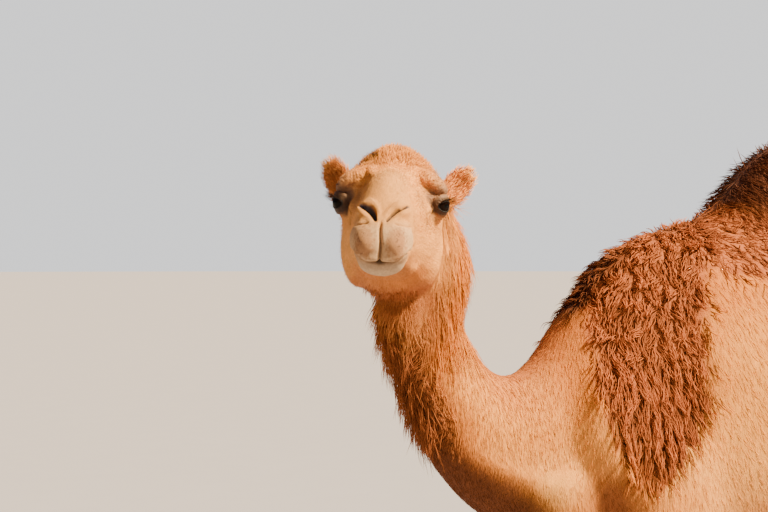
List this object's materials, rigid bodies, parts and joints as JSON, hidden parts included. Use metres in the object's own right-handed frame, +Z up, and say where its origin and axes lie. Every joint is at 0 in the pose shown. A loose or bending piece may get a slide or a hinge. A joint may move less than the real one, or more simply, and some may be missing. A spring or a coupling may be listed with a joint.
{
  "type": "dromedary camel",
  "caption": "One-humped camel standing still, low curved neck raised and head turned to its left, with broad two-toed feet and a tufted tail.",
  "frame": {"origin": "floor level under the middle of the animal's box", "axes": "the body runs along X and faces -X, its left flank faces -Y, +Z is up"},
  "size_m": [2.1632, 0.7454, 2.0915],
  "materials": {
    "coat_tan": "short to woolly sandy orange fur over skin",
    "coat_pale": "short pale peach and cream fur over skin",
    "coat_brown": "long dark brown hair over skin",
    "nail_horn": "dull dark horn of the toenails",
    "eye_dark": "wet dark brown eye"
  },
  "bodies": {
    "root": {"ear_left": "coat_tan", "ear_right": "coat_tan", "eye_left": "eye_dark", "eye_right": "eye_dark", "foot_front_left": "coat_tan", "foot_front_right": "coat_tan", "foot_hind_left": "coat_tan", "foot_hind_right": "coat_tan", "head": "coat_pale", "hump": "coat_brown", "leg_front_left": "coat_tan", "leg_front_right": "coat_tan", "leg_hind_left": "coat_tan", "leg_hind_right": "coat_tan", "nail_front_left_inner": "nail_horn", "nail_front_left_outer": "nail_horn", "nail_front_right_inner": "nail_horn", "nail_front_right_outer": "nail_horn", "nail_hind_left_inner": "nail_horn", "nail_hind_left_outer": "nail_horn", "nail_hind_right_inner": "nail_horn", "nail_hind_right_outer": "nail_horn", "neck_lower": "coat_pale", "neck_middle": "coat_tan", "neck_upper": "coat_tan", "tail": "coat_tan", "tail_tuft": "coat_brown", "trunk": "coat_tan"}
  },
  "joints": []
}
